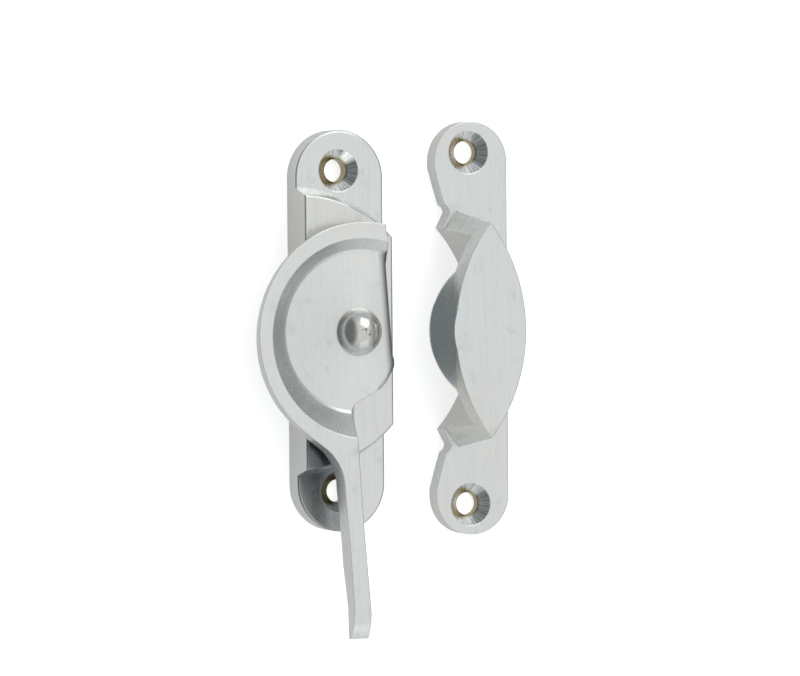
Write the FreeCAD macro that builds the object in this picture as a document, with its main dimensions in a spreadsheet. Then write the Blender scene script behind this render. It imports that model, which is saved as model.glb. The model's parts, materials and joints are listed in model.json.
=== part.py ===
"""Cam fastener for sliding sash windows: a base with a turning cam arm, and a hooked keeper.

Row frame, in millimetres: the origin is midway between the two screw holes of the base, on its
mounting face; +X points from the base to the keeper, +Y runs along the plates, away from the
resting lever, and +Z points out of the mounting face.
"""
import FreeCAD, Part
import math
import os

import Sketcher

V = FreeCAD.Vector
FIRST_GUESS = 20.0      # where a profile's corners start before their dimensions place them
LONG_EDGE = 12.0        # the straight part of the arm's flat side is longer than this
doc = FreeCAD.newDocument("fastener")
sheet = doc.addObject("Spreadsheet::Sheet", "Size")

DIMENSIONS = [
    # base plate: a round-ended screw plate with a raised platform for the pivot
    ("plate_length", 66.0),
    ("plate_width", 15.6),
    ("plate_shift", 0.15),
    ("plate_thick", 3.6),
    ("platform_top", 7.5),
    ("platform_axis_x", -8.5),
    ("platform_low_radius", 23.5),
    ("platform_high_radius", 22.4),
    ("base_screw_pitch", 52.7),
    ("screw_hole_radius", 1.9),
    ("sink_radius", 3.5),
    ("edge_round", 0.45),
    # pivot stack, from the platform down to the peened tail
    ("pivot_x", 1.0),
    ("bearing_radius", 2.55),
    ("counterbore_radius", 6.0),
    ("counterbore_depth", 4.5),
    ("thrust_thick", 0.3),
    ("thrust_radius", 5.4),
    ("shank_radius", 2.5),
    ("neck_radius", 1.8),
    ("spring_inner", 2.7),
    ("spring_outer", 5.3),
    ("spring_thick", 0.55),
    ("tail_washer_top", 3.2),
    ("tail_washer_low", 2.4),
    ("tail_washer_radius", 5.5),
    ("tail_radius", 3.0),
    ("tail_low", 1.1),
    ("tail_bevel", 0.5),
    ("dome_radius", 3.95),
    ("dome_height", 3.2),
    # cam arm: radii are about the pivot; the rim's top rises from its leading tip to the lever
    ("floor_top", 9.4),
    ("floor_radius", 13.2),
    ("wall_spread", 1.1),
    ("wall_top_radius", 17.9),
    ("rim_mid_height", 12.15),
    ("rim_slope_deg", 3.0),
    ("outer_radius", 18.75),
    ("outer_shift_x", 0.2),
    ("outer_shift_y", -0.85),
    ("rim_edge", 1.4),
    ("foot_radius", 15.2),
    ("lever_root", 10.0),
    ("lever_top", 13.1),
    ("lever_low", 9.5),
    ("lever_reach", 49.9),
    ("lever_taper_start", 38.0),
    ("lever_curl_start", 45.4),
    ("lever_curl_middle", 47.9),
    ("lever_middle_top", 12.7),
    ("lever_tip_top", 11.6),
    ("lever_tip_low", 11.0),
    ("side_round", 0.5),
    ("wall_foot_rise", 0.2),
    ("wall_foot_reach", 0.28),
    # keeper: its own lengthwise axis lies at keeper_x
    ("keeper_x", 23.8),
    ("keeper_length", 68.9),
    ("keeper_width", 13.2),
    ("keeper_shift", 0.35),
    ("keeper_thick", 2.9),
    ("keeper_screw_pitch", 58.7),
    ("keeper_sink_radius", 3.6),
    ("lens_offset", 21.4),
    ("lens_shift", -2.1),
    ("lens_radius", 27.7),
    ("lens_foot_radius", 29.1),
    ("lens_top", 16.0),
    ("lens_low", 12.8),
    ("slot_radius", 24.6),
    ("nose_axis_x", 0.6),
    ("nose_low_radius", 12.3),
    ("nose_high_radius", 9.3),
    ("lip_low", 10.5),
    ("lip_foot_radius", 11.4),
    ("lip_half_width", 4.5),
    ("lip_gap", 0.3),
    # construction: how far cutting blocks stand clear, and the spans of the larger ones
    ("overshoot", 1.0),
    ("block_span", 80.0),
    ("block_thick", 10.0),
]
for row, (alias, value) in enumerate(DIMENSIONS, start=1):
    sheet.set("A%d" % row, alias)
    sheet.set("B%d" % row, str(value))
    sheet.setAlias("B%d" % row, alias)
doc.recompute()


def size(alias):
    """The number held in one named cell."""
    return float(sheet.get(alias))


def solid(kind, name, **bindings):
    """A Part primitive whose properties all come from expressions; x, y and z place it."""
    thing = doc.addObject("Part::" + kind, name)
    for prop, text in bindings.items():
        path = ".Placement.Base." + prop if prop in ("x", "y", "z") else prop
        thing.setExpression(path, text)
    return thing


def cylinder(name, radius, height, x="0", y="0", z="0"):
    return solid("Cylinder", name, Radius=radius, Height=height, x=x, y=y, z=z)


def cone(name, low, high, height, x="0", y="0", z="0"):
    return solid("Cone", name, Radius1=low, Radius2=high, Height=height, x=x, y=y, z=z)


def box(name, length, width, height, x="0", y="0", z="0"):
    return solid("Box", name, Length=length, Width=width, Height=height, x=x, y=y, z=z)


def fuse(name, shapes):
    thing = doc.addObject("Part::MultiFuse", name)
    thing.Shapes = shapes
    thing.Refine = True
    return thing


def common(name, shapes):
    thing = doc.addObject("Part::MultiCommon", name)
    thing.Shapes = shapes
    return thing


def cut(name, whole, tool):
    thing = doc.addObject("Part::Cut", name)
    thing.Base = whole
    thing.Tool = tool
    thing.Refine = True
    return thing


def round_edges(name, whole, radius_alias, wanted):
    """Round every edge of a solid that the test picks out."""
    doc.recompute()
    radius = size(radius_alias)
    picked = [i for i, edge in enumerate(whole.Shape.Edges, start=1) if wanted(edge)]
    if not picked:
        raise ValueError(name + ": no edge to round")
    thing = doc.addObject("Part::Fillet", name)
    thing.Base = whole
    thing.Edges = [(i, radius, radius) for i in picked]
    doc.recompute()
    if thing.Shape.isNull() or not thing.Shape.isValid():
        raise ValueError(name + ": the rounding failed")
    return thing


def middle(edge):
    return edge.valueAt((edge.FirstParameter + edge.LastParameter) / 2)


def lies_at(edge, level):
    """True for an edge whose whole length is at one height."""
    box_of = edge.BoundBox
    return abs(box_of.ZMin - level) < 1e-4 and abs(box_of.ZMax - level) < 1e-4


def outline(name, start, steps):
    """A closed sketch, every corner dimensioned from the origin.

    A step is (end,) for a straight side or (through, end) for an arc.
    """
    sketch = doc.addObject("Sketcher::SketchObject", name)
    here = start
    ends = []
    for step in steps:
        end = step[-1]
        a = V(here[0], here[1], 0)
        b = V(end[0], end[1], 0)
        if len(step) == 1:
            index = sketch.addGeometry(Part.LineSegment(a, b), False)
            first, last = 1, 2
        else:
            through = V(step[0][0], step[0][1], 0)
            leftward = (through - a).cross(b - through).z > 0
            first, last = (1, 2) if leftward else (2, 1)
            arc = Part.Arc(a, through, b) if leftward else Part.Arc(b, through, a)
            index = sketch.addGeometry(arc, False)
            radius = sketch.Geometry[index].Radius
            sketch.addConstraint(Sketcher.Constraint("Radius", index, radius))
        sketch.addConstraint(Sketcher.Constraint("DistanceX", index, first, here[0]))
        sketch.addConstraint(Sketcher.Constraint("DistanceY", index, first, here[1]))
        ends.append((index, first, last))
        here = end
    for (one, _, last), (two, first, _) in zip(ends, ends[1:] + ends[:1]):
        sketch.addConstraint(Sketcher.Constraint("Coincident", one, last, two, first))
    doc.recompute()
    return sketch


def extrude(name, sketch, direction, length):
    """A sketch drawn out along a direction by a length expression."""
    thing = doc.addObject("Part::Extrusion", name)
    thing.Base = sketch
    thing.DirMode = "Custom"
    thing.Dir = direction
    thing.Solid = True
    thing.setExpression("LengthFwd", length)
    return thing


def turned(name, corners):
    """A body made by turning a closed outline of (radius, height) expressions about the pivot."""
    body = doc.addObject("PartDesign::Body", name)
    sketch = body.newObject("Sketcher::SketchObject", name + "_profile")
    plane = [f for f in body.Origin.OriginFeatures if f.Role == "XZ_Plane"][0]
    sketch.AttachmentSupport = [(plane, "")]
    sketch.MapMode = "FlatFace"
    count = len(corners)
    turns = [2 * math.pi * i / count for i in range(count + 1)]
    ring = [V(FIRST_GUESS + math.cos(a), FIRST_GUESS + math.sin(a), 0) for a in turns]
    for a, b in zip(ring, ring[1:]):
        sketch.addGeometry(Part.LineSegment(a, b), False)
    for index in range(count):
        sketch.addConstraint(Sketcher.Constraint("Coincident", index, 2, (index + 1) % count, 1))
    for index, corner in enumerate(corners):
        for kind, text in zip(("DistanceX", "DistanceY"), corner):
            at = sketch.addConstraint(Sketcher.Constraint(kind, index, 1, FIRST_GUESS))
            sketch.setExpression("Constraints[%d]" % at, text)
    doc.recompute()
    turn = body.newObject("PartDesign::Revolution", name + "_turn")
    turn.Profile = sketch
    turn.ReferenceAxis = (sketch, ["V_Axis"])
    turn.Angle = 360
    body.Tip = turn
    body.setExpression(".Placement.Base.x", "Size.pivot_x")
    doc.recompute()
    return body


def round_ended_plate(name, length, width, thick, x):
    """A flat plate with full half-round ends, its long axis along Y at the given x."""
    middle_part = box(
        name + "_middle", width, length + " - " + width, thick,
        x=x + " - " + width + " / 2", y="(" + width + " - " + length + ") / 2",
    )
    reach = "(" + length + " - " + width + ") / 2"
    ends = [
        cylinder(name + "_end_" + side, width + " / 2", thick, x=x, y=sign + reach)
        for side, sign in (("high", ""), ("low", "-1 * "))
    ]
    return fuse(name, [middle_part] + ends)


def screw_hole_tools(name, x, pitch, thick, sink):
    """Through holes and 90 degree countersinks for the two screws of a plate."""
    tools = []
    for side, sign in (("high", ""), ("low", "-1 * ")):
        y = sign + pitch + " / 2"
        tools.append(cylinder(
            name + "_hole_" + side, "Size.screw_hole_radius", thick + " + 2 * Size.overshoot",
            x=x, y=y, z="-1 * Size.overshoot",
        ))
        tools.append(cone(
            name + "_sink_" + side, "0", sink + " + Size.overshoot", sink + " + Size.overshoot",
            x=x, y=y, z=thick + " - " + sink,
        ))
    return tools


def make_base():
    """Screw plate, pivot platform with curved ends, pivot bore and the counterbore under it."""
    plate = round_ended_plate("base_flat", "Size.plate_length", "Size.plate_width",
                              "Size.plate_thick", "Size.plate_shift")
    tall = round_ended_plate("base_tall", "Size.plate_length", "Size.plate_width",
                             "Size.platform_top", "Size.plate_shift")
    ends = cone("platform_ends", "Size.platform_low_radius", "Size.platform_high_radius",
                "Size.platform_top - Size.plate_thick", x="Size.platform_axis_x",
                z="Size.plate_thick")
    block = common("platform", [tall, ends])
    whole = fuse("base_blank", [plate, block])
    tools = screw_hole_tools("base", "0", "Size.base_screw_pitch", "Size.plate_thick",
                             "Size.sink_radius")
    below = "-1 * Size.overshoot"
    tools.append(cylinder("bearing", "Size.bearing_radius", "Size.platform_top + 2 * Size.overshoot",
                          x="Size.pivot_x", z=below))
    tools.append(cylinder("counterbore", "Size.counterbore_radius",
                          "Size.counterbore_depth + Size.overshoot", x="Size.pivot_x", z=below))
    top, low = size("platform_top"), size("plate_thick")
    rounded = round_edges(
        "base_rounded", whole, "edge_round",
        lambda edge: lies_at(edge, top)
        or (lies_at(edge, low) and abs(middle(edge).y) > size("base_screw_pitch") / 2),
    )
    return cut("base_plate", rounded, fuse("base_tools", tools))


def make_dish():
    """The dish of the arm: a turned floor and flared wall inside a flared, off-centre outer wall."""
    under = "Size.platform_top + Size.thrust_thick"
    wall_top = "Size.floor_top + (Size.wall_top_radius - Size.floor_radius) / Size.wall_spread"
    beyond = "Size.outer_radius + 2 * Size.overshoot"
    blank = turned("dish_blank", [
        ("Size.shank_radius", under),
        (beyond, under),
        (beyond, wall_top),
        ("Size.wall_top_radius", wall_top),
        ("Size.floor_radius + Size.wall_foot_rise * Size.wall_spread",
         "Size.floor_top + Size.wall_foot_rise"),
        ("Size.floor_radius - Size.wall_foot_reach", "Size.floor_top"),
        ("Size.shank_radius", "Size.floor_top"),
    ])
    centre = {"x": "Size.pivot_x + Size.outer_shift_x", "y": "Size.outer_shift_y"}
    brow = "Size.rim_mid_height - Size.rim_edge"
    flare = cone("outer_flare", "Size.foot_radius", "Size.outer_radius",
                 brow + " - (" + under + ")", z=under, **centre)
    band = cylinder("outer_band", "Size.outer_radius", wall_top + " - (" + brow + ")", z=brow,
                    **centre)
    return common("dish", [blank, fuse("outer_wall", [flare, band])])


def make_rim_cutter():
    """A slab whose underside is the sloping plane of the rim's top."""
    half = "-1 * Size.block_span / 2"
    slab = box("rim_cutter", "Size.block_span", "Size.block_span", "Size.block_thick",
               x=half, y=half)
    slab.setExpression(".Placement.Rotation.Angle", "-1 * Size.rim_slope_deg")
    slab.Placement.Rotation.Axis = V(1, 0, 0)
    lift = "Size.block_span / 2 * tan(Size.rim_slope_deg * 1 deg)"
    slab.setExpression(".Placement.Base.z", "Size.rim_mid_height + " + lift)
    return slab


def make_lever():
    """The finger lever in plan and in side view; its tip curls down and its underside tapers."""
    plan = outline("lever_outline", (-9.83, -13.9), [
        ((-6.2, -16.2), (-1.9, -17.35)),
        ((-1.8, -18.5),),
        ((-0.9, -32.3),),
        ((0.23, -45.5),),
        ((0.25, -49.9),),
        ((-2.9, -49.9),),
        ((-2.75, -44.7),),
        ((-3.45, -34.2),),
        ((-4.25, -25.3),),
        ((-5.15, -21.5), (-7.2, -18.9)),
        ((-10.6, -16.3),),
        ((-9.83, -13.9),),
    ])
    plan_block = extrude("lever_plan", plan, V(0, 0, 1), "Size.lever_top + Size.overshoot")
    plan_block.setExpression(".Placement.Base.x", "Size.pivot_x")
    root = -size("lever_root")
    low, top = size("lever_low"), size("lever_top")
    tip = -size("lever_reach")
    bend = (-size("lever_curl_middle"), size("lever_middle_top"))
    side = outline("lever_side", (root, low), [
        ((root, top),),
        ((-size("lever_curl_start"), top),),
        (bend, (tip, size("lever_tip_top"))),
        ((tip, size("lever_tip_low")),),
        ((-size("lever_taper_start"), low),),
        ((root, low),),
    ])
    upright = FreeCAD.Rotation(V(0, 1, 0), V(0, 0, 1), V(1, 0, 0))
    side.Placement = FreeCAD.Placement(V(-size("block_span") / 2, 0, 0), upright)
    side_block = extrude("lever_slab", side, V(1, 0, 0), "Size.block_span")
    return common("lever", [plan_block, side_block])


def make_arm():
    """A sector of the dish, cut at a flat side and a slanting corner, joined to the lever."""
    sector = outline("sector_outline", (-24.0, 24.0), [
        ((-24.0, -24.0),),
        ((-2.6, -24.0),),
        ((-1.95, -17.1),),
        ((-1.45, -13.5),),
        ((-1.1, -12.2), (-0.1, -11.35)),
        ((2.7, -9.9),),
        ((4.4, -8.7), (5.5, -7.0)),
        ((6.05, -6.1), (6.15, -4.6)),
        ((5.0, 10.3),),
        ((4.9, 12.8),),
        ((4.15, 16.5),),
        ((4.0, 24.0),),
        ((-24.0, 24.0),),
    ])
    sector_block = extrude("sector_block", sector, V(0, 0, 1), "Size.lever_top + Size.overshoot")
    sector_block.setExpression(".Placement.Base.x", "Size.pivot_x")
    kept = common("sector", [make_dish(), sector_block])
    blank = cut("arm_blank", fuse("arm_whole", [kept, make_lever()]), make_rim_cutter())
    level = size("floor_top")
    beyond = size("pivot_x") + size("dome_radius")
    return round_edges(
        "arm_rounded", blank, "side_round",
        lambda edge: lies_at(edge, level) and middle(edge).x > beyond and edge.Length > LONG_EDGE,
    )


def make_keeper():
    """Screw plate, drafted lens-shaped post with the cam slot, and the nose with its hanging lip."""
    axis = "Size.keeper_x"
    plate = round_ended_plate("keeper_flat", "Size.keeper_length", "Size.keeper_width",
                              "Size.keeper_thick", axis + " + Size.keeper_shift")
    height = "Size.lens_top - Size.keeper_thick"
    bows = [
        cone("lens_" + side, "Size.lens_foot_radius", "Size.lens_radius", height,
             x=axis + " + Size.lens_shift " + sign + " Size.lens_offset", z="Size.keeper_thick")
        for side, sign in (("near", "+"), ("far", "-"))
    ]
    post = common("post", bows)
    waist = outline("waist_outline", (-9.0, 27.0), [
        ((-6.3, 27.0),),
        ((-5.35, 23.6), (-4.4, 20.6)),
        ((-3.7, 20.0), (-3.5, 19.3)),
        ((-4.6, 17.2),),
        ((-5.6, 15.4),),
        ((-9.0, 15.4),),
        ((-9.0, 27.0),),
    ])
    waist_high = extrude("waist_high", waist, V(0, 0, 1), "Size.keeper_thick")
    waist_high.setExpression(".Placement.Base.x", axis)
    waist_low = doc.addObject("Part::Mirroring", "waist_low")
    waist_low.Source = waist_high
    waist_low.Normal = V(0, 1, 0)
    slot = cylinder("slot", "Size.slot_radius", "Size.lens_low + Size.overshoot",
                    x="Size.pivot_x", z="-1 * Size.overshoot")
    body = cut("keeper_body", fuse("keeper_blank", [plate, post]),
               fuse("keeper_cuts", [slot, waist_high, waist_low]))
    nose = cone("nose_cone", "Size.nose_low_radius", "Size.nose_high_radius",
                "Size.lens_top - Size.lens_low", x=axis + " + Size.nose_axis_x", z="Size.lens_low")
    far_side = cylinder("nose_back", "Size.lens_radius", "Size.lens_top",
                        x=axis + " + Size.lens_shift - Size.lens_offset")
    nose_part = common("nose", [nose, far_side])
    lip_height = "(Size.lens_low - Size.lip_low)"
    lip_front = cone("lip_front", "Size.lip_foot_radius", "Size.nose_low_radius", lip_height,
                     x=axis + " + Size.nose_axis_x", z="Size.lip_low")
    inner = "Size.floor_radius - Size.lip_gap + (Size.lip_low - Size.floor_top) * Size.wall_spread"
    lip_back = cone("lip_back", inner, inner + " + " + lip_height + " * Size.wall_spread", lip_height,
                    x="Size.pivot_x", z="Size.lip_low")
    lip_width = box("lip_width", "Size.block_span", "2 * Size.lip_half_width", "Size.lens_top",
                    y="-1 * Size.lip_half_width")
    lip = common("lip", [lip_front, lip_back, lip_width])
    whole = fuse("keeper_whole", [body, nose_part, lip])
    tools = screw_hole_tools("keeper", axis, "Size.keeper_screw_pitch", "Size.keeper_thick",
                             "Size.keeper_sink_radius")
    return cut("keeper_plate", whole, fuse("keeper_tools", tools))


def make_rivet():
    """Domed head, shank that turns in the platform, neck and peened tail."""
    blank = turned("rivet_blank", [
        ("0", "Size.tail_low"),
        ("Size.tail_radius - Size.tail_bevel", "Size.tail_low"),
        ("Size.tail_radius", "Size.tail_low + Size.tail_bevel"),
        ("Size.tail_radius", "Size.tail_washer_low"),
        ("Size.neck_radius", "Size.tail_washer_low"),
        ("Size.neck_radius", "Size.tail_washer_top"),
        ("Size.shank_radius", "Size.tail_washer_top"),
        ("Size.shank_radius", "Size.floor_top"),
        ("0", "Size.floor_top"),
    ])
    radius = "(Size.dome_radius ^ 2 + Size.dome_height ^ 2) / (2 * Size.dome_height)"
    ball = solid("Sphere", "dome_ball", Radius=radius, x="Size.pivot_x",
                 z="Size.floor_top + Size.dome_height - " + radius)
    above = cylinder("dome_space", "Size.dome_radius + Size.overshoot", "Size.dome_height",
                     x="Size.pivot_x", z="Size.floor_top")
    return fuse("pivot_rivet", [blank, common("dome", [ball, above])])


def make_washers():
    """Thrust washer on the platform, cone spring in the counterbore, and the washer it bears on."""
    ceiling = "Size.counterbore_depth"
    thrust = turned("thrust_washer", [
        ("Size.bearing_radius", "Size.platform_top"),
        ("Size.thrust_radius", "Size.platform_top"),
        ("Size.thrust_radius", "Size.platform_top + Size.thrust_thick"),
        ("Size.bearing_radius", "Size.platform_top + Size.thrust_thick"),
    ])
    spring = turned("spring_washer", [
        ("Size.spring_inner", ceiling),
        ("Size.spring_inner", ceiling + " - Size.spring_thick"),
        ("Size.spring_outer", "Size.tail_washer_top"),
        ("Size.spring_outer", "Size.tail_washer_top + Size.spring_thick"),
    ])
    tail = turned("tail_washer", [
        ("Size.neck_radius", "Size.tail_washer_low"),
        ("Size.tail_washer_radius", "Size.tail_washer_low"),
        ("Size.tail_washer_radius", "Size.tail_washer_top"),
        ("Size.neck_radius", "Size.tail_washer_top"),
    ])
    return [thrust, spring, tail]


def write_parts(parts):
    """Check every object in the document, then write one STEP file for each sub-part."""
    doc.recompute()
    for thing in doc.Objects:
        if "Invalid" in thing.State or "Error" in thing.State:
            raise ValueError("%s is in state %s" % (thing.Name, thing.State))
    os.makedirs("parts", exist_ok=True)
    for name, thing in parts:
        shape = thing.Shape
        if shape.isNull() or not shape.isValid() or len(shape.Solids) != 1:
            raise ValueError(name + ": the shape is not one valid solid")
        thing.Label = name
        shape.exportStep("parts/%s.step" % name)
        extent = shape.optimalBoundingBox(False)
        print("%-14s %8.1f mm3  x %.2f..%.2f  y %.2f..%.2f  z %.2f..%.2f" % (
            name, shape.Volume, extent.XMin, extent.XMax, extent.YMin, extent.YMax,
            extent.ZMin, extent.ZMax))


thrust_washer, spring_washer, tail_washer = make_washers()
write_parts([
    ("base_plate", make_base()),
    ("cam_arm", make_arm()),
    ("pivot_rivet", make_rivet()),
    ("thrust_washer", thrust_washer),
    ("spring_washer", spring_washer),
    ("tail_washer", tail_washer),
    ("keeper_plate", make_keeper()),
])
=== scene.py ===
"""The sash window fastener as satin chrome hardware on a pale floor, under soft studio light."""
import json
import math

import bpy
from mathutils import Matrix, Vector

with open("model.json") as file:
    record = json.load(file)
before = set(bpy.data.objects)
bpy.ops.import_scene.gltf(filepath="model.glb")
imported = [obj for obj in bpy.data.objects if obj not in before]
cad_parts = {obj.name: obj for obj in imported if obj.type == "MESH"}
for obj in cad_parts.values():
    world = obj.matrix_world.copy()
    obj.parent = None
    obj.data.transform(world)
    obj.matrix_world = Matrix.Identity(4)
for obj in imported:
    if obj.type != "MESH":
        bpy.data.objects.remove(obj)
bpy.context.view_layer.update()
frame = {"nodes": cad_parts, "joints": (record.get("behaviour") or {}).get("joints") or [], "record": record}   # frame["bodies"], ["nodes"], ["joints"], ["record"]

MM = 0.001


# ---------------------------------------------------------------- shader helpers

class Shader:
    """The nodes of a material or a world, built up by short calls. Every value that a call takes
    is a number, a tuple or another node's socket."""

    def __init__(self, owner):
        owner.use_nodes = True
        self.owner = owner
        self.tree = owner.node_tree
        self.tree.nodes.clear()
        self.coordinates = self.node("ShaderNodeTexCoord").outputs
        self.place = self.coordinates["Object"]

    def node(self, kind, **settings):
        """A new node with its settings."""
        made = self.tree.nodes.new(kind)
        for key, value in settings.items():
            setattr(made, key, value)
        return made

    def feed(self, socket, value):
        """Link another socket into this one, or set its value; a colour gets an alpha of 1."""
        if isinstance(value, bpy.types.NodeSocket):
            self.tree.links.new(value, socket)
        elif hasattr(socket.default_value, "__len__") and not isinstance(value, (int, float)):
            count = len(socket.default_value)
            socket.default_value = tuple(value)[:count] if len(value) >= count else (*value, 1.0)
        else:
            socket.default_value = value

    def math(self, operation, a, b=0.0):
        """Arithmetic on plain numbers."""
        made = self.node("ShaderNodeMath", operation=operation)
        self.feed(made.inputs[0], a)
        self.feed(made.inputs[1], b)
        return made.outputs[0]

    def vector(self, operation, a, b=(0, 0, 0)):
        """Arithmetic on vectors; a dot product comes out as a plain number."""
        made = self.node("ShaderNodeVectorMath", operation=operation)
        self.feed(made.inputs[0], a)
        self.feed(made.inputs[1], b)
        return made.outputs["Value" if operation == "DOT_PRODUCT" else "Vector"]

    def ramp(self, value, low, high, to_low=0.0, to_high=1.0):
        """A smooth step from one value to another."""
        made = self.node("ShaderNodeMapRange", interpolation_type="SMOOTHSTEP")
        for key, number in zip(("Value", "From Min", "From Max", "To Min", "To Max"),
                               (value, low, high, to_low, to_high)):
            self.feed(made.inputs[key], number)
        return made.outputs[0]

    def noise(self, scale, detail=3.0, stretch=(1, 1, 1), rough=0.5, over=None):
        """Noise over the piece, or over another vector; stretch squeezes it along each axis."""
        squeezed = self.vector("MULTIPLY", over or self.place, stretch)
        made = self.node("ShaderNodeTexNoise")
        self.feed(made.inputs["Vector"], squeezed)
        self.feed(made.inputs["Scale"], scale)
        self.feed(made.inputs["Detail"], detail)
        self.feed(made.inputs["Roughness"], rough)
        return made.outputs["Fac"]

    def mix(self, amount, a, b):
        """Mix two colours."""
        made = self.node("ShaderNodeMix", data_type="RGBA")
        self.feed(made.inputs[0], amount)
        self.feed(made.inputs[6], a)
        self.feed(made.inputs[7], b)
        return made.outputs[2]

    def blend(self, amount, a, b):
        """Mix two plain numbers."""
        made = self.node("ShaderNodeMix", data_type="FLOAT")
        self.feed(made.inputs[0], amount)
        self.feed(made.inputs[2], a)
        self.feed(made.inputs[3], b)
        return made.outputs[0]

    def split(self, vector):
        """A vector's x, y and z."""
        made = self.node("ShaderNodeSeparateXYZ")
        self.feed(made.inputs[0], vector)
        return made.outputs

    def about(self, centre_x, centre_y):
        """Distance from an upright axis, and the direction away from it."""
        x, y, _ = self.split(self.place)
        across = self.math("SUBTRACT", x, centre_x)
        along = self.math("SUBTRACT", y, centre_y)
        distance = self.math("SQRT", self.math("ADD", self.math("MULTIPLY", across, across),
                                               self.math("MULTIPLY", along, along)))
        joined = self.node("ShaderNodeCombineXYZ")
        self.feed(joined.inputs[0], across)
        self.feed(joined.inputs[1], along)
        world = self.node("ShaderNodeVectorTransform", vector_type="VECTOR",
                          convert_from="OBJECT", convert_to="WORLD")
        self.feed(world.inputs[0], self.vector("NORMALIZE", joined.outputs[0]))
        return distance, world.outputs[0]

    def turning_lines(self, distance, scale):
        """Fine rings left by a lathe tool, as a height."""
        made = self.node("ShaderNodeTexNoise", noise_dimensions="1D")
        self.feed(made.inputs["W"], distance)
        self.feed(made.inputs["Scale"], scale)
        self.feed(made.inputs["Detail"], 3.0)
        return made.outputs["Fac"]

    def upward(self):
        """How far the surface faces up: 1 for a level top face."""
        return self.split(self.node("ShaderNodeNewGeometry").outputs["Normal"])[2]

    def rounded_normal(self, radius):
        """The surface's direction as if its edges were rounded."""
        made = self.node("ShaderNodeBevel", samples=6)
        self.feed(made.inputs["Radius"], radius)
        return made.outputs[0]

    def shelter(self, toward, reach):
        """How far nearby pieces close off one side: 1 in the open, 0 where fully covered."""
        made = self.node("ShaderNodeAmbientOcclusion", samples=8)
        self.feed(made.inputs["Normal"], toward)
        self.feed(made.inputs["Distance"], reach)
        return made.outputs["AO"]

    def edge_wear(self, rounded):
        """1 along worn edges, where the rounded normal leaves the true one."""
        true = self.node("ShaderNodeNewGeometry").outputs["True Normal"]
        cosine = self.vector("DOT_PRODUCT", rounded, true)
        return self.ramp(cosine, 0.995, 0.86)

    def bump(self, height, strength, distance, normal):
        """A direction tilted by the slope of a height."""
        made = self.node("ShaderNodeBump")
        self.feed(made.inputs["Strength"], strength)
        self.feed(made.inputs["Distance"], distance)
        self.feed(made.inputs["Height"], height)
        self.feed(made.inputs["Normal"], normal)
        return made.outputs[0]

    def finish(self, color, roughness, normal, metallic=1.0, brushed=0.0, tangent=None, **more):
        """End a material with its surface; more holds any other inputs by name."""
        surface = self.node("ShaderNodeBsdfPrincipled")
        self.feed(surface.inputs["Anisotropic"], brushed)
        if tangent is not None:
            self.feed(surface.inputs["Tangent"], tangent)
        self.feed(surface.inputs["Base Color"], color)
        self.feed(surface.inputs["Metallic"], metallic)
        self.feed(surface.inputs["Roughness"], roughness)
        self.feed(surface.inputs["Normal"], normal)
        for name, value in more.items():
            self.feed(surface.inputs[name], value)
        output = self.node("ShaderNodeOutputMaterial")
        self.tree.links.new(surface.outputs[0], output.inputs["Surface"])
        return self.owner


# ---------------------------------------------------------------- materials

# colours
SATIN = (0.77, 0.79, 0.775)
SATIN_WARM = (0.78, 0.77, 0.735)
GRAIN_SHADE = (0.62, 0.64, 0.64)
HANDLED = (0.55, 0.57, 0.56)
WORN_EDGE = (0.95, 0.95, 0.94)
# painted shade: the dark colour laid where nearby pieces would shade a face
PAINTED_SHADE = (0.165, 0.182, 0.195)
POLISHED = (0.95, 0.95, 0.93)
CHATTER = (0.42, 0.43, 0.43)
BARE_BRASS = (0.50, 0.42, 0.26)
DOME_CHROME = (0.67, 0.67, 0.66)
DOME_BRASSY = (0.69, 0.65, 0.56)
# dark colour of the crown mark: a painted reflection of the camera
CAMERA_REFLECTION_DARK = (0.16, 0.16, 0.16)
BRASS = (0.78, 0.61, 0.31)
TARNISHED_BRASS = (0.45, 0.31, 0.15)
STEEL = (0.46, 0.46, 0.47)
OILED_STEEL = (0.30, 0.31, 0.34)
PAPER = (0.97, 0.97, 0.97)
PAPER_TOOTH = (0.94, 0.94, 0.94)
PAPER_MIRRORED = (0.42, 0.42, 0.40)
# lengths; radii are about the pivot or the nearest screw's axis
EDGE_ROUND = 0.25 * MM
FLAT_SIDE_ROUND = 1.3 * MM
DOME_EDGE_ROUND = 0.15 * MM
WASHER_EDGE_ROUND = 0.1 * MM
DISH_FLOOR = 13.2 * MM
DISH_RIM = 17.9 * MM
SHELTER_REACH = 22 * MM
# where a finish, a painted shade or a painted reflection fades in, from its first trace to its full
# strength
SINK_FADE = (3.75 * MM, 3.6 * MM)
BORE_FADE = (0.45 * MM, 0.10 * MM)
CROWN_MARK_FADE = (1.1 * MM, 0.5 * MM)
FLAT_SIDE_FADE = (3.0 * MM, 3.5 * MM)
FLAT_SIDE_END_FADE = (13.5 * MM, 12.5 * MM)
# the band of painted shade by the arm's flat side
FLAT_SIDE_PAINTED_SHADE_FADE = (4.1 * MM, 5.6 * MM)
LEVER_LEFT_FADE = (1.1 * MM, 0.2 * MM)
LEVER_END_FADE = (-2 * MM, -9 * MM)
# the arm's flat side leans this far from Y
FLAT_SIDE_LEAN = math.radians(4.41)
# up and toward the keeper: the side the light is taken to come from when painting shade on the base
# plate
KEEPER_SIDE = (0.7, 0.0, 0.71)
# how fine each noise is, in features per metre
CLOUDS = 90
BRASS_CLOUDS = 260
MARKS = 330
UNEVEN = 700
DOME_CLOUDS = 900
PAPER_GRAIN = 900
CROWN_MARK_GRAIN = 2200
ROLLING = 2400
BRUSHING = 2600
BLANKING = 3000
SCRATCHES = 3500
SINK_TURNING = 4000
FLOOR_TURNING = 5200
DOME_TURNING = 6000
# how fine the chatter is round a countersink, over a direction of length 1
CHATTER_FINENESS = 9
# light given off by the paper, as the camera sees it and as the metal mirrors it
PAPER_GLOW = 0.62
PAPER_GLOW_MIRRORED = 0.39


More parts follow.
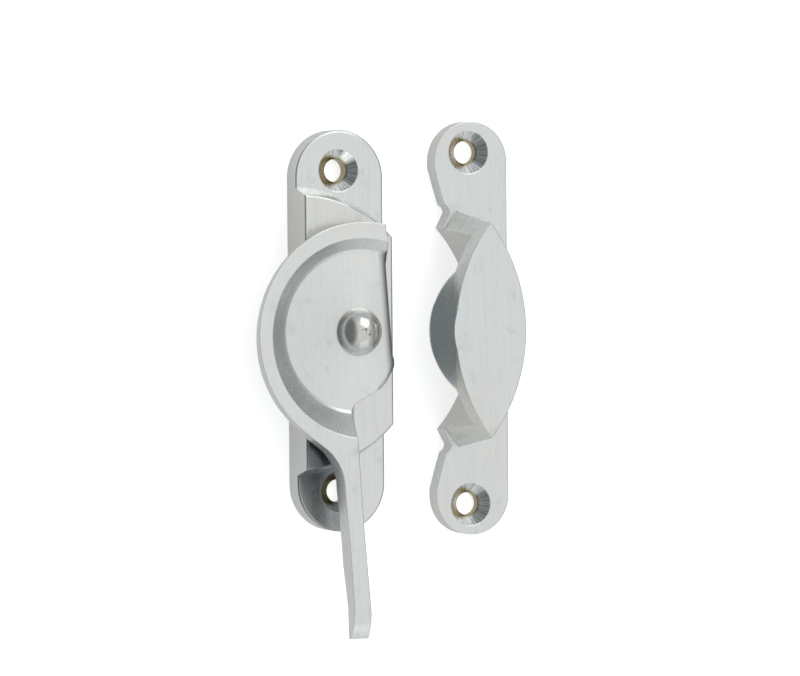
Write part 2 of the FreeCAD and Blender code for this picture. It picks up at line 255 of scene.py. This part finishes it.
def brushed_chrome(s):
    """Colour, roughness and height of satin chrome: fine grain along Y, faint clouds and marks."""
    clouds = s.noise(CLOUDS, detail=4)
    grain = s.noise(BRUSHING, detail=4, stretch=(1, 0.03, 1), rough=0.7)
    marks = s.ramp(s.noise(MARKS, detail=6, rough=0.65), 0.55, 0.70)
    color = s.mix(s.ramp(clouds, 0.3, 0.7), SATIN, SATIN_WARM)
    color = s.mix(s.ramp(grain, 0.35, 0.75, 0.0, 0.25), color, GRAIN_SHADE)
    color = s.mix(s.math("MULTIPLY", marks, 0.30), color, HANDLED)
    roughness = s.ramp(grain, 0.3, 0.7, 0.24, 0.34)
    return color, s.math("ADD", roughness, s.math("MULTIPLY", marks, 0.06)), grain


def worn_edges(s, rounded, color, roughness):
    """Edges rubbed brighter and smoother than the faces."""
    worn = s.edge_wear(rounded)
    color = s.mix(s.math("MULTIPLY", worn, 0.8), color, WORN_EDGE)
    return color, s.blend(s.math("MULTIPLY", worn, 0.6), roughness, 0.18)


def fine_bump(s, height, rounded):
    """The rounded normal with the finish's own height and a faint unevenness over it."""
    normal = s.bump(height, 0.10, 0.02 * MM, rounded)
    return s.bump(s.noise(UNEVEN, detail=2), 0.06, 0.03 * MM, normal)


def nearest_screw(s, screws):
    """Distance from the nearest screw axis, the direction away from it, and the hole radius."""
    pattern = [m for m in frame["record"]["mounts"] if m["name"] == screws][0]
    centre_x, centre_y, _ = pattern["pos_m"]
    half = pattern["dims"]["spacing_y_mm"] * MM / 2
    side = s.math("SIGN", s.math("SUBTRACT", s.split(s.place)[1], centre_y))
    near, outward = s.about(centre_x, s.math("ADD", s.math("MULTIPLY", side, half), centre_y))
    return near, outward, pattern["dims"]["hole_r_mm"] * MM


def painted_shade_by_lever(s, side):
    """Where to paint shade: 1 where nearby pieces close off that side of an upward face at the
    lever's end of the base and left of the lever, 0 in the open."""
    open_side = s.ramp(s.shelter(side, SHELTER_REACH), 0.70, 0.98)
    x, y, _ = s.split(s.place)
    lever_end = s.math("MULTIPLY", s.ramp(x, *LEVER_LEFT_FADE), s.ramp(y, *LEVER_END_FADE))
    facing_up = s.math("MULTIPLY", s.ramp(s.upward(), 0.3, 0.6), lever_end)
    return s.math("MULTIPLY", facing_up, s.math("SUBTRACT", 1.0, open_side))


def plate_plating(name, screws, painted_shade_side=None):
    """Satin chrome plate with polished countersinks that are worn to brass in their bores; where
    something overhangs it from the given side, painted shade darkens the plating."""
    s = Shader(bpy.data.materials.new(name))
    rounded = s.rounded_normal(EDGE_ROUND)
    color, roughness, height = brushed_chrome(s)
    near, outward, hole = nearest_screw(s, screws)
    lines = s.turning_lines(near, SINK_TURNING)
    chatter = s.ramp(s.noise(CHATTER_FINENESS, detail=5, over=outward), 0.45, 0.60)
    in_sink = s.math("MULTIPLY", s.ramp(near, *SINK_FADE), s.ramp(s.upward(), 0.93, 0.85))
    in_bore = s.ramp(s.math("SUBTRACT", near, hole), *BORE_FADE)
    turned = s.mix(s.math("MULTIPLY", chatter, 0.6), POLISHED, CHATTER)
    color = s.mix(in_bore, s.mix(in_sink, color, turned), BARE_BRASS)
    roughness = s.blend(in_sink, roughness, s.ramp(lines, 0.3, 0.7, 0.10, 0.18))
    height = s.blend(in_sink, height, s.math("ADD", lines, s.math("MULTIPLY", chatter, 2.0)))
    color, roughness = worn_edges(s, rounded, color, roughness)
    # painted shade where the lever and arm overhang the plate
    if painted_shade_side:
        color = s.mix(painted_shade_by_lever(s, painted_shade_side), color, PAINTED_SHADE)
    return s.finish(color, roughness, fine_bump(s, height, rounded),
                    brushed=s.math("MULTIPLY", in_sink, 0.4), tangent=outward)


def flat_side(s, centre):
    """1 over the band of the dish by its flat side, and how far toward that side a point lies."""
    x, y, _ = s.split(s.place)
    across = s.math("SUBTRACT", x, centre[0])
    along = s.math("SUBTRACT", y, centre[1])
    band = s.math("MULTIPLY", s.ramp(across, *FLAT_SIDE_FADE),
                  s.ramp(s.math("ABSOLUTE", y), *FLAT_SIDE_END_FADE))
    outward = s.math("ADD", s.math("MULTIPLY", across, math.cos(FLAT_SIDE_LEAN)),
                     s.math("MULTIPLY", along, math.sin(FLAT_SIDE_LEAN)))
    return band, outward


def arm_plating(name, centre):
    """Satin chrome with turning lines on the dish's floor, which rolls off at its flat side under a
    band of painted shade.
    """
    s = Shader(bpy.data.materials.new(name))
    color, roughness, height = brushed_chrome(s)
    radius, outward = s.about(*centre)
    band, to_side = flat_side(s, centre)
    rounded = s.rounded_normal(s.blend(band, EDGE_ROUND, FLAT_SIDE_ROUND))
    lines = s.turning_lines(radius, FLOOR_TURNING)
    level = s.ramp(s.upward(), 0.80, 0.95)
    in_dish = s.math("MULTIPLY", s.ramp(radius, DISH_RIM, DISH_FLOOR),
                     s.ramp(s.upward(), 0.2, 0.4))
    on_floor = s.math("MULTIPLY", in_dish, level)
    height = s.blend(in_dish, height, s.blend(level, 0.5, lines))
    roughness = s.blend(on_floor, roughness, s.ramp(lines, 0.3, 0.7, 0.22, 0.32))
    color, roughness = worn_edges(s, rounded, color, roughness)
    # painted shade along the dish's flat side, darkest toward its edge
    painted_shade_band = s.math("MULTIPLY", band, s.ramp(to_side, *FLAT_SIDE_PAINTED_SHADE_FADE, 0.0, 0.8))
    color = s.mix(painted_shade_band, color, PAINTED_SHADE)
    return s.finish(color, roughness, fine_bump(s, height, rounded),
                    brushed=s.math("MULTIPLY", on_floor, 0.75), tangent=outward)


def polished_plating(name, centre):
    """Polished turned chrome that thins to a brassy tint, with a rough, scratched mark at the crown
    painted dark as a reflection of the camera.
    """
    s = Shader(bpy.data.materials.new(name))
    radius, outward = s.about(*centre)
    # the crown mark: its dark colour is a painted reflection of the camera, its roughness and
    # scratches a real scuff
    scuff_and_reflection = s.math("MULTIPLY", s.ramp(radius, *CROWN_MARK_FADE),
                   s.ramp(s.noise(CROWN_MARK_GRAIN), 0.45, 0.6))
    brassy = s.ramp(s.noise(BRASS_CLOUDS), 0.35, 0.65, 0.1, 0.6)
    color = s.mix(scuff_and_reflection, s.mix(brassy, DOME_CHROME, DOME_BRASSY), CAMERA_REFLECTION_DARK)
    roughness = s.math("ADD", s.ramp(s.noise(DOME_CLOUDS, detail=3), 0.35, 0.7, 0.16, 0.24),
                       s.math("MULTIPLY", scuff_and_reflection, 0.2))
    lines = s.turning_lines(radius, DOME_TURNING)
    normal = s.bump(lines, 0.08, 0.02 * MM, s.rounded_normal(DOME_EDGE_ROUND))
    normal = s.bump(s.math("MULTIPLY", scuff_and_reflection, s.noise(SCRATCHES)), 0.6, 0.08 * MM, normal)
    return s.finish(color, roughness, normal, brushed=0.6, tangent=outward)


def plain_brass(name):
    """Stamped brass with a blanked, slightly tarnished face."""
    s = Shader(bpy.data.materials.new(name))
    tarnish = s.ramp(s.noise(BRASS_CLOUDS, detail=5), 0.35, 0.65)
    color = s.mix(tarnish, BRASS, TARNISHED_BRASS)
    roughness = s.ramp(tarnish, 0.0, 1.0, 0.24, 0.45)
    blanked = s.noise(BLANKING, detail=3)
    normal = s.bump(blanked, 0.15, 0.02 * MM, s.rounded_normal(WASHER_EDGE_ROUND))
    return s.finish(color, roughness, normal)


def spring_steel(name):
    """Oiled blue-grey spring steel with rolling lines."""
    s = Shader(bpy.data.materials.new(name))
    lines = s.noise(ROLLING, detail=3, stretch=(1, 0.05, 1))
    color = s.mix(s.ramp(lines, 0.35, 0.65), OILED_STEEL, STEEL)
    roughness = s.ramp(lines, 0.3, 0.7, 0.22, 0.4)
    normal = s.bump(lines, 0.2, 0.02 * MM, s.rounded_normal(WASHER_EDGE_ROUND))
    return s.finish(color, roughness, normal)


def floor_paper(name):
    """Matt near-white paper on a light table: its own glow keeps it white, and it shows darker in
    the metal than it does to the camera."""
    s = Shader(bpy.data.materials.new(name))
    tooth = s.noise(PAPER_GRAIN, detail=4)
    mirrored = s.node("ShaderNodeLightPath").outputs["Is Glossy Ray"]
    color = s.mix(s.ramp(tooth, 0.3, 0.7), PAPER_TOOTH, PAPER)
    color = s.mix(mirrored, color, PAPER_MIRRORED)
    normal = s.node("ShaderNodeNewGeometry").outputs["Normal"]
    glow = s.ramp(mirrored, 0.0, 1.0, PAPER_GLOW, PAPER_GLOW_MIRRORED)
    return s.finish(color, 0.9, s.bump(tooth, 0.05, 0.05 * MM, normal), metallic=0.0,
                    **{"Emission Color": (1.0, 1.0, 1.0), "Emission Strength": glow})


# ---------------------------------------------------------------- pieces

pivot = [j for j in frame["joints"] if j["name"] == "arm_turn"][0]["pos_m"][:2]
looks = {
    "base_plate": plate_plating("base_plating", "base_screws", painted_shade_side=KEEPER_SIDE),
    "cam_arm": arm_plating("arm_plating", pivot),
    "keeper_plate": plate_plating("keeper_plating", "keeper_screws"),
    "pivot_rivet": polished_plating("polished_plating", pivot),
    "thrust_washer": plain_brass("washer_brass"),
    "tail_washer": plain_brass("tail_brass"),
    "spring_washer": spring_steel("spring_steel"),
}
for node, material in looks.items():
    piece = frame["nodes"][node]
    piece.data.materials.clear()
    piece.data.materials.append(material)


# ---------------------------------------------------------------- floor, light and camera

FLOOR_HALF = 1.2
FLOOR_DROP = 0.02 * MM
PANEL_SIZE = 0.60
PANEL_AIM = Vector((10 * MM, 0, 0))
SKY_POWER = 0.91
SKY_DARK = (0.10, 0.12, 0.125)
# where the bright strip darkens toward -X and +X, and how far
SKY_LEFT_FADE = (-0.24, -0.56)
SKY_LEFT_DARK = 0.85
SKY_RIGHT_FADE = (0.62, 0.92)
SKY_RIGHT_DARK = 0.65
# height in the sky, from the horizon to overhead, and the colour there
SKY_LEVELS = [
    (0.00, (0.52, 0.56, 0.58)),
    (0.30, (0.62, 0.66, 0.69)),
    (0.60, (0.78, 0.82, 0.84)),
    (0.85, (0.91, 0.94, 0.95)),
    (1.00, (0.95, 0.97, 0.98)),
]


def make_floor():
    """A wide sheet just under the part's mounting face."""
    mesh = bpy.data.meshes.new("floor")
    corners = [(-FLOOR_HALF, -FLOOR_HALF, -FLOOR_DROP), (FLOOR_HALF, -FLOOR_HALF, -FLOOR_DROP),
               (FLOOR_HALF, FLOOR_HALF, -FLOOR_DROP), (-FLOOR_HALF, FLOOR_HALF, -FLOOR_DROP)]
    mesh.from_pydata(corners, [], [(0, 1, 2, 3)])
    floor = bpy.data.objects.new("floor", mesh)
    floor.data.materials.append(floor_paper("floor_paper"))
    bpy.context.collection.objects.link(floor)


def make_sky():
    """Soft surround: a broad bright strip overhead, running along Y, between darker sides: one
    behind the lever (-X) and a lighter one beyond the keeper (+X)."""
    s = Shader(bpy.data.worlds.new("surround"))
    x, _, z = s.split(s.coordinates["Generated"])
    ramp = s.node("ShaderNodeValToRGB")
    s.feed(ramp.inputs[0], z)
    stops = ramp.color_ramp.elements
    for stop, (level, color) in zip(stops, (SKY_LEVELS[0], SKY_LEVELS[-1])):
        stop.position = level
        stop.color = (*color, 1)
    for level, color in SKY_LEVELS[1:-1]:
        stops.new(level).color = (*color, 1)
    behind_lever = s.ramp(x, *SKY_LEFT_FADE, 0.0, SKY_LEFT_DARK)
    beyond_keeper = s.ramp(x, *SKY_RIGHT_FADE, 0.0, SKY_RIGHT_DARK)
    color = s.mix(s.math("MAXIMUM", behind_lever, beyond_keeper), ramp.outputs[0], SKY_DARK)
    back = s.node("ShaderNodeBackground")
    s.feed(back.inputs["Color"], color)
    s.feed(back.inputs["Strength"], SKY_POWER)
    out = s.node("ShaderNodeOutputWorld")
    s.tree.links.new(back.outputs[0], out.inputs["Surface"])
    bpy.context.scene.world = s.owner


def make_panel(name, place, power):
    """A square soft light aimed at the middle of the part."""
    data = bpy.data.lights.new(name, "AREA")
    data.shape = "SQUARE"
    data.size = PANEL_SIZE
    data.energy = power
    lamp = bpy.data.objects.new(name, data)
    lamp.location = place
    lamp.rotation_euler = (PANEL_AIM - Vector(place)).to_track_quat("-Z", "Y").to_euler()
    bpy.context.collection.objects.link(lamp)


def make_camera(target, back, distance, roll_deg, lens):
    """Camera looking along -back at the target, with picture-up near row +Y."""
    back = Vector(back).normalized()
    up = (Vector((0, 1, 0)) - back * back.y).normalized()
    right = up.cross(back)
    turn = Matrix.Rotation(math.radians(roll_deg), 3, back)
    axes = Matrix((turn @ right, turn @ up, back)).transposed()
    data = bpy.data.cameras.new("camera")
    data.lens = lens
    data.sensor_width = 36.0
    data.clip_start = 0.01
    camera = bpy.data.objects.new("camera", data)
    camera.matrix_world = Matrix.Translation(Vector(target) + back * distance) @ axes.to_4x4()
    bpy.context.collection.objects.link(camera)
    bpy.context.scene.camera = camera


make_floor()
make_sky()
make_panel("top_panel", (0.28, 0.60, 0.60), power=1.2)
make_panel("low_panel", (0.28, -0.75, 0.40), power=0.3)
make_camera(target=(9.75 * MM, -1.26 * MM, 6 * MM), back=(-0.402, 0.0296, 0.915),
            distance=657 * MM, roll_deg=-0.43, lens=179.6)
bpy.context.scene.view_settings.view_transform = "Standard"
